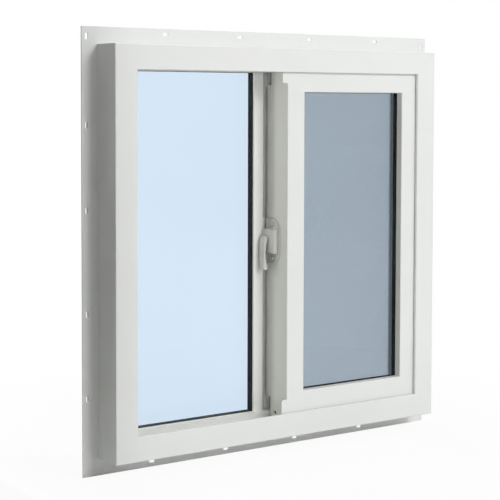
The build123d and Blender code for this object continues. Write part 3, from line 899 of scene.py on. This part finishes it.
@dataclass
class Latch:
    """The latch on the edge of the lock stile: plate, body, lever and screws.

    A row of body_profile has the height over the plate's rim, then how far the front, back, bottom
    and top are drawn in. A knot of the lever has its centre line's X from the body's face and Z
    from the lever's root, its thickness and its share of the lever's width. The two numbers of
    screw_fall are the shares of a head's height that it falls over the disc and at its edge.
    """

    rim: float = 2.0
    field_drop: float = 0.9
    plate_rounding: float = 20.0
    back_rounding: float = 1.2
    least_rounding: float = 0.2
    body_roundings: tuple[float, float] = (1.6, 0.8)
    body_profile: Profile = (
        (1.2, 0.0, 0.0, 0.0, 0.0),
        (1.7, 0.2, 0.0, 0.1, 0.1),
        (5.5, 1.9, 0.0, 0.4, 0.5),
        (6.1, 2.5, 0.2, 0.8, 1.4),
        (6.4, 3.1, 0.7, 1.4, 2.2),
        (6.5, 4.0, 1.6, 2.4, 3.2),
    )
    lever_rise: float = 3.0
    lever_width: float = 14.5
    lever_knots: Profile = (
        (2.2, 2.6, 5.2, 0.92),
        (-2.0, 2.2, 6.4, 0.98),
        (-4.0, -3.5, 6.6, 1.0),
        (-5.0, -11.0, 5.0, 1.0),
        (-5.7, -19.0, 4.0, 0.99),
        (-5.7, -28.0, 4.2, 0.98),
        (-4.6, -36.0, 5.8, 0.97),
        (-3.6, -43.0, 8.2, 0.97),
        (-3.2, -48.5, 7.8, 0.94),
    )
    lever_rings: int = 72
    lever_around: int = 32
    lever_end: float = 2.6
    lever_end_side: float = 2.0
    lever_least: float = 0.004
    lever_powers: tuple[float, float] = (0.3, 0.5)
    screw_rings: int = 26
    screw_around: int = 64
    screw_centre: float = 0.02
    screw_edge: float = 0.82
    screw_fall: tuple[float, float] = (0.35, 0.455)
    screw_skirt: float = 0.05
    recess_arm: float = 0.62
    recess_wall: float = 0.25
    recess_reach: float = 2.0
    recess_end: float = 0.5
    recess_depth: float = 1.0
    plate: Block = field(init=False)
    body: Block = field(init=False)

    def build(self) -> None:
        """Make the moulded parts, and dress the keeper and the tongue."""
        self.plate = Block.of("latch_base")
        self.body = Block.of("latch_body")
        self.make_plate()
        self.make_body()
        self.make_lever()
        self.make_screws()
        dress(LATCH_SHADED_PLASTIC, "latch_keeper")
        dress(SCREW_METAL, "latch_tongue")

    def stack(self, block: Block, steps: Sequence[Sequence[float]]) -> np.ndarray:
        """A stack of rounded outlines in Y and Z that rises from the stile's edge along -X.

        Args:
            block: the box that the outline at the foot fills.
            steps: for each outline, its height over the foot, how far its front, back, bottom and
                top sides are drawn in, and the radii of its front and back corners.

        Returns:
            One tube, as Shell.add takes it.
        """
        rings = []
        for height, front, back, bottom, top, front_radius, back_radius in steps:
            outline = rounded_outline(
                (block.low[1] + front, block.low[2] + bottom),
                (block.high[1] - back, block.high[2] - top),
                (front_radius, back_radius, back_radius, front_radius),
            )
            rings.append(np.insert(outline, 0, block.high[0] - height, axis=1))
        return np.array([rings])

    def make_plate(self) -> None:
        """D-shaped plate with a bevelled, raised rim round a flat field.

        Each pair is how far an outline is drawn in and its height over the stile's edge.
        """
        thick = self.plate.high[0] - self.plate.low[0]
        steps = []
        for inset, height in (
            (0.0, 0.0),
            (0.15, thick - 2.2),
            (0.9, thick - 0.35),
            (1.4, thick),
            (self.rim, thick),
            (self.rim + 0.5, thick - 0.35),
            (self.rim + 0.8, thick - self.field_drop),
            (self.rim + 5.0, thick - self.field_drop),
        ):
            back = max(self.back_rounding - inset, self.least_rounding)
            steps.append((height, *[inset] * 4, self.plate_rounding - inset, back))
        shell = Shell()
        shell.add(self.stack(self.plate, steps))
        shell.make("latch_plate", LATCH_SHADED_PLASTIC, ["latch_base"])

    def make_body(self) -> None:
        """Raised body with a steep bevel along its front and small ones at its other edges."""
        block = Block(self.body.low.copy(), self.body.high.copy())
        block.high[0] += self.field_drop
        steps = [(0.0, 0.0, 0.0, 0.0, 0.0, *self.body_roundings)]
        for height, *insets in self.body_profile:
            steps.append((self.field_drop + height, *insets, *self.body_roundings))
        shell = Shell()
        shell.add(self.stack(block, steps))
        shell.make("latch_housing", LATCH_SHADED_PLASTIC, ["latch_body"])

    def make_lever(self) -> None:
        """S-shaped finger lever that hangs from the body.

        Its centre line is a smooth line in X and Z. Round it, each ring is a rounded square: the
        sign of cos and sin times their size to a small power. The width and the thickness follow
        the line, and both ends draw in as a circle does.
        """
        face, root = self.body.low[0], self.plate.middle[2] + self.lever_rise
        line = smooth_line(np.array(self.lever_knots), self.lever_rings)
        centre, thick, wide = line[:, :2], line[:, 2], line[:, 3] * self.lever_width
        ahead = np.gradient(centre, axis=0)
        ahead /= np.linalg.norm(ahead, axis=1)[:, None]
        lengths = np.linalg.norm(np.diff(centre, axis=0), axis=1)
        travelled = np.concatenate([[0], np.cumsum(lengths)])
        from_end = np.minimum(travelled, travelled[-1] - travelled) / self.lever_end
        drawn = 1 - (1 - np.clip(from_end, 0, 1)) ** 2
        close = np.sqrt(np.clip(drawn, self.lever_least, 1))
        angle = turn_in(self.lever_around)
        side_power, face_power = self.lever_powers
        side = np.sign(np.cos(angle)) * np.abs(np.cos(angle)) ** side_power
        face_way = np.sign(np.sin(angle)) * np.abs(np.sin(angle)) ** face_power
        half_wide = (wide / 2 - self.lever_end_side * (1 - close))[:, None] * side
        half_thick = (thick / 2 * close)[:, None] * face_way
        box = Block.of("latch_lever")
        x = face + centre[:, 0, None] - ahead[:, 1, None] * half_thick
        z = root + centre[:, 1, None] + ahead[:, 0, None] * half_thick
        y = box.middle[1] + half_wide
        shell = Shell()
        shell.add(np.stack([x, y, z], -1)[None])
        stands_for = ["latch_lever"]
        shell.make("latch_finger_lever", LATCH_SHADED_PLASTIC, stands_for, crease=60.0)

    def make_screws(self) -> None:
        """Pan heads with a cross recess, one at each end of the plate.

        On a disc of rings, the height falls with the square of the distance from the centre, and
        steeply at the edge. It sinks inside the cross, where the nearer of the two axes is within
        the half width of the recess's arm.
        """
        box = Block.of("latch_screws")
        size = (box.high[1] - box.low[1]) / 2
        foot = self.plate.low[0] + self.field_drop
        tall = foot - box.low[0]
        angle = turn_in(self.screw_around)
        share = np.linspace(self.screw_centre, 1, self.screw_rings)[:, None]
        out = share * size
        y, z = out * np.cos(angle), out * np.sin(angle)
        fall, edge_fall = self.screw_fall
        edge = np.clip(share - self.screw_edge, 0, 1) / (1 - self.screw_edge)
        dome = 1 - fall * share**2 - edge_fall * edge
        arm = np.minimum(abs(y), abs(z))
        across = np.clip((self.recess_arm - arm) / self.recess_wall, 0, 1)
        along = np.clip((self.recess_reach - out) / self.recess_end, 0, 1)
        height = tall * np.broadcast_to(dome, y.shape) - self.recess_depth * across * along
        shell = Shell()
        for middle in (box.low[2] + size, box.high[2] - size):
            grid = np.stack([foot - height, box.middle[1] + y, middle + z], -1)
            skirt = grid[-1:].copy()
            skirt[..., 0] = foot + self.screw_skirt
            shell.add(np.concatenate([grid, skirt])[None])
        shell.make("latch_screw_heads", SCREW_METAL, ["latch_screws"], crease=40.0)


# Studio


@dataclass(frozen=True)
class Lamp:
    """A square soft lamp: where it stands, where it points, its side and its power."""

    name: str
    place: Point
    aim: Point
    side: float
    power: float

    def hang(self) -> None:
        """Put the lamp in the scene."""
        data = bpy.data.lights.new(self.name, "AREA")
        data.shape, data.size, data.energy = "SQUARE", self.side, self.power
        lamp = bpy.data.objects.new(self.name, data)
        lamp.location = self.place
        way = np.array(self.aim) - np.array(self.place)
        across = math.atan2(way[1], way[0]) - math.pi / 2
        down = math.atan2(math.hypot(way[0], way[1]), -way[2])
        lamp.rotation_euler = (down, 0, across)
        lamp.visible_camera = lamp.visible_transmission = False
        bpy.context.scene.collection.objects.link(lamp)


@dataclass(frozen=True)
class FloorPaint(Finish):
    """Pale floor that keeps a soft shadow near the window and is plain white farther off."""

    colour: Colour = (0.86, 0.86, 0.86)
    pale: Colour = (0.89, 0.89, 0.89)
    roughness: float = 0.8
    cloud_scale: float = 3.0
    white: float = 0.93
    near: float = 0.30
    far: float = 0.9

    def paint(self, shader: Shader) -> None:
        """Matt paint, with white for the camera's rays mixed in more and more with distance."""
        place = shader.place()
        x, y, _ = shader.axes(place)
        off = shader.math("SQRT", x * x + y * y).rise(self.near, self.far)
        cloud = shader.noise(place, self.cloud_scale)
        colour = shader.blend(cloud, self.colour, self.pale)
        matt = shader.principled({"Base Color": colour, "Roughness": self.roughness})
        light = {"Color": (1, 1, 1, 1), "Strength": 1.0}
        glow = shader.node("ShaderNodeEmission", None, light).outputs[0]
        seen = seen_rays(shader)
        shader.show(shader.either(seen * (off * (1 - self.white) + self.white), matt, glow))


def seen_rays(shader: Shader) -> Number:
    """1 for rays by which the background is seen: straight or through glass."""
    path = shader.node("ShaderNodeLightPath")
    straight = Number(shader, path.outputs["Is Camera Ray"])
    through = Number(shader, path.outputs["Is Transmission Ray"])
    return straight.most(through)


WINDOW_MIDDLE = (0.0, 0.0, 0.3)
WINDOW_TOP = (0.0, 0.0, 0.6)


@dataclass
class Studio:
    """White studio: a pale floor, six soft lamps, a dark card and a low even light.

    The lens is in millimetres. The tilt and the roll are in degrees, and the turn is in radians.
    """

    ambient: float = 0.26
    ambient_way: Point = (-0.03, -0.12, 0.07)
    floor_side: float = 24.0
    floor_gap: float = 0.0002
    flag_side: float = -0.42
    flag_depth: tuple[float, float] = (-0.75, 0.22)
    flag_height: tuple[float, float] = (0.0, 0.75)
    eye: Point = (-1.2476, -1.7497, 0.5261)
    turn: float = 0.6067
    tilt: float = -3.0
    roll: float = 0.138
    lens: float = 99.74
    shift: float = -0.1487
    sight: float = 100.0
    lamps: tuple[Lamp, ...] = (
        Lamp("key_lamp", (0.76, -3.0, 2.0), WINDOW_MIDDLE, 1.0, 46.5),
        Lamp("left_lamp", (-0.75, -2.4, 0.7), WINDOW_MIDDLE, 0.15, 7.0),
        Lamp("sky_lamp", (-1.3, 1.0, 0.5), WINDOW_MIDDLE, 0.5, 7.0),
        Lamp("top_lamp", (0.0, -0.02, 2.3), WINDOW_TOP, 0.8, 11.0),
        Lamp("back_lamp", (0.5, 3.0, 1.8), WINDOW_MIDDLE, 1.3, 34.0),
        Lamp("right_lamp", (2.4, -2.2, 1.5), WINDOW_MIDDLE, 1.2, 9.0),
    )

    def build(self) -> None:
        """Make the lamps, floor, card, world and camera."""
        for lamp in self.lamps:
            lamp.hang()
        self.floor()
        self.flag()
        self.world()
        self.camera()
        bpy.context.scene.view_settings.view_transform = "Standard"

    def floor(self) -> None:
        """A flat floor just under the nailing fin."""
        level = CAD_BOX[0][2] - self.floor_gap
        half = self.floor_side / 2
        around = ((-half, -half), (half, -half), (half, half), (-half, half))
        corners = [(x, y, level) for x, y in around]
        floor = self.sheet("studio_floor", corners, FloorPaint("studio_floor_paint"))

    def flag(self) -> None:
        """A dark upright card left of the window, out of sight, that keeps its outer side dim."""
        (front, back), (low, high) = self.flag_depth, self.flag_height
        around = ((front, low), (back, low), (back, high), (front, high))
        corners = [(self.flag_side, y, z) for y, z in around]
        cloth = Moulded("studio_flag_cloth", (0.30, 0.30, 0.29), (0.34, 0.34, 0.33), 0.8)
        flag = self.sheet("studio_flag", corners, cloth)
        flag.visible_camera = flag.visible_glossy = flag.visible_transmission = False

    def sheet(self, name: str, corners: Sequence[Point], finish: Finish) -> bpy.types.Object:
        """One flat sheet of the studio, from its four corners.

        Args:
            name: the sheet's name.
            corners: its corners in order, in metres.
            finish: its finish.

        Returns:
            The sheet.
        """
        mesh = bpy.data.meshes.new(name)
        mesh.from_pydata(corners, [], [(0, 1, 2, 3)])
        mesh.materials.append(material_of(finish))
        sheet = bpy.data.objects.new(name, mesh)
        bpy.context.scene.collection.objects.link(sheet)
        return sheet

    def world(self) -> None:
        """White where it is seen, and a lower soft light on the window.

        That light is a plain number plus the product of its direction and ambient_way, so that a
        little more of it comes from the front, the left and above.
        """
        world = bpy.data.worlds.new("studio_world")
        world.use_nodes = True
        bpy.context.scene.world = world
        shader = Shader(world.node_tree)
        way = shader.axes(shader.node("ShaderNodeTexCoord").outputs["Generated"])
        level = sum((axis * share for axis, share in zip(way, self.ambient_way)), 0.0)
        lights = []
        for strength in (level + self.ambient, 1.0):
            inputs = {"Color": (1, 1, 1, 1), "Strength": strength}
            lights.append(shader.node("ShaderNodeBackground", None, inputs).outputs[0])
        surface = shader.either(seen_rays(shader), *lights)
        shader.node("ShaderNodeOutputWorld", None, {"Surface": surface})

    def camera(self) -> None:
        """Camera at the photograph's viewpoint."""
        data = bpy.data.cameras.new("camera")
        data.lens, data.shift_y, data.clip_end = self.lens, self.shift, self.sight
        camera = bpy.data.objects.new("camera", data)
        camera.location = self.eye
        pitch, roll = math.radians(90 + self.tilt), -math.radians(self.roll)
        camera.rotation_euler = (pitch, roll, -self.turn)
        bpy.context.scene.collection.objects.link(camera)
        bpy.context.scene.camera = camera


def main() -> None:
    """Build the window and its studio."""
    logging.basicConfig(level=logging.INFO, format="%(name)s: %(message)s")
    window = (OuterFrame(), FixedLight(), SlidingSash(), PileSeals(), InsectScreen(), Latch())
    for part in (*window, Studio()):
        part.build()


if __name__ == "__main__":
    main()
